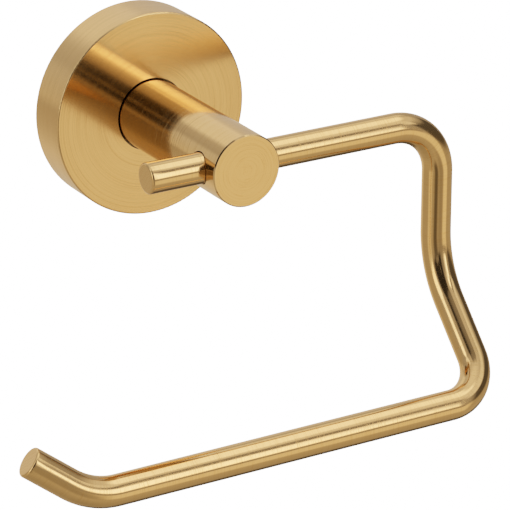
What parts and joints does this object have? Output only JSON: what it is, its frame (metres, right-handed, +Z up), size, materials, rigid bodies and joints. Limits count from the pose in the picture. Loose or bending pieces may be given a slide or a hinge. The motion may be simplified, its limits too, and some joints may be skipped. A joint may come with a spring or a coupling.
{
  "type": "toilet paper holder",
  "caption": "Wall-mounted toilet paper holder: round rose, round post and a bent round rod arm, an open hoop with an upturned tip, that swivels in the post.",
  "frame": {"origin": "centre of the face that lies on the wall, on the post's axis", "axes": "+Y into the wall along the post's axis, so the object stands out towards -Y; +Z up; +X towards the hoop's closed side"},
  "size_m": [0.1379, 0.0837, 0.0999],
  "materials": {
    "satin_gold": "brushed satin gold plating",
    "cast_metal": "plain machined brass",
    "stainless": "plain stainless steel",
    "nylon": "natural nylon"
  },
  "bodies": {
    "wall_mount": {"wall_bracket": "stainless", "mounting_hub": "cast_metal", "rose": "satin_gold", "rose_grub_screw": "stainless", "post_bolt": "stainless", "post_spring_washer": "stainless", "post_locating_pin": "stainless", "post": "satin_gold", "arm_grub_screw": "stainless", "arm_friction_tip": "nylon"},
    "arm": {"arm": "satin_gold"}
  },
  "joints": [
    {"name": "arm_swing", "type": "hinge", "parent": "wall_mount", "child": "arm", "pos_m": [0, -0.0535, 0], "axis": [-1, 0, 0], "range_deg": [-62, 200]}
  ]
}
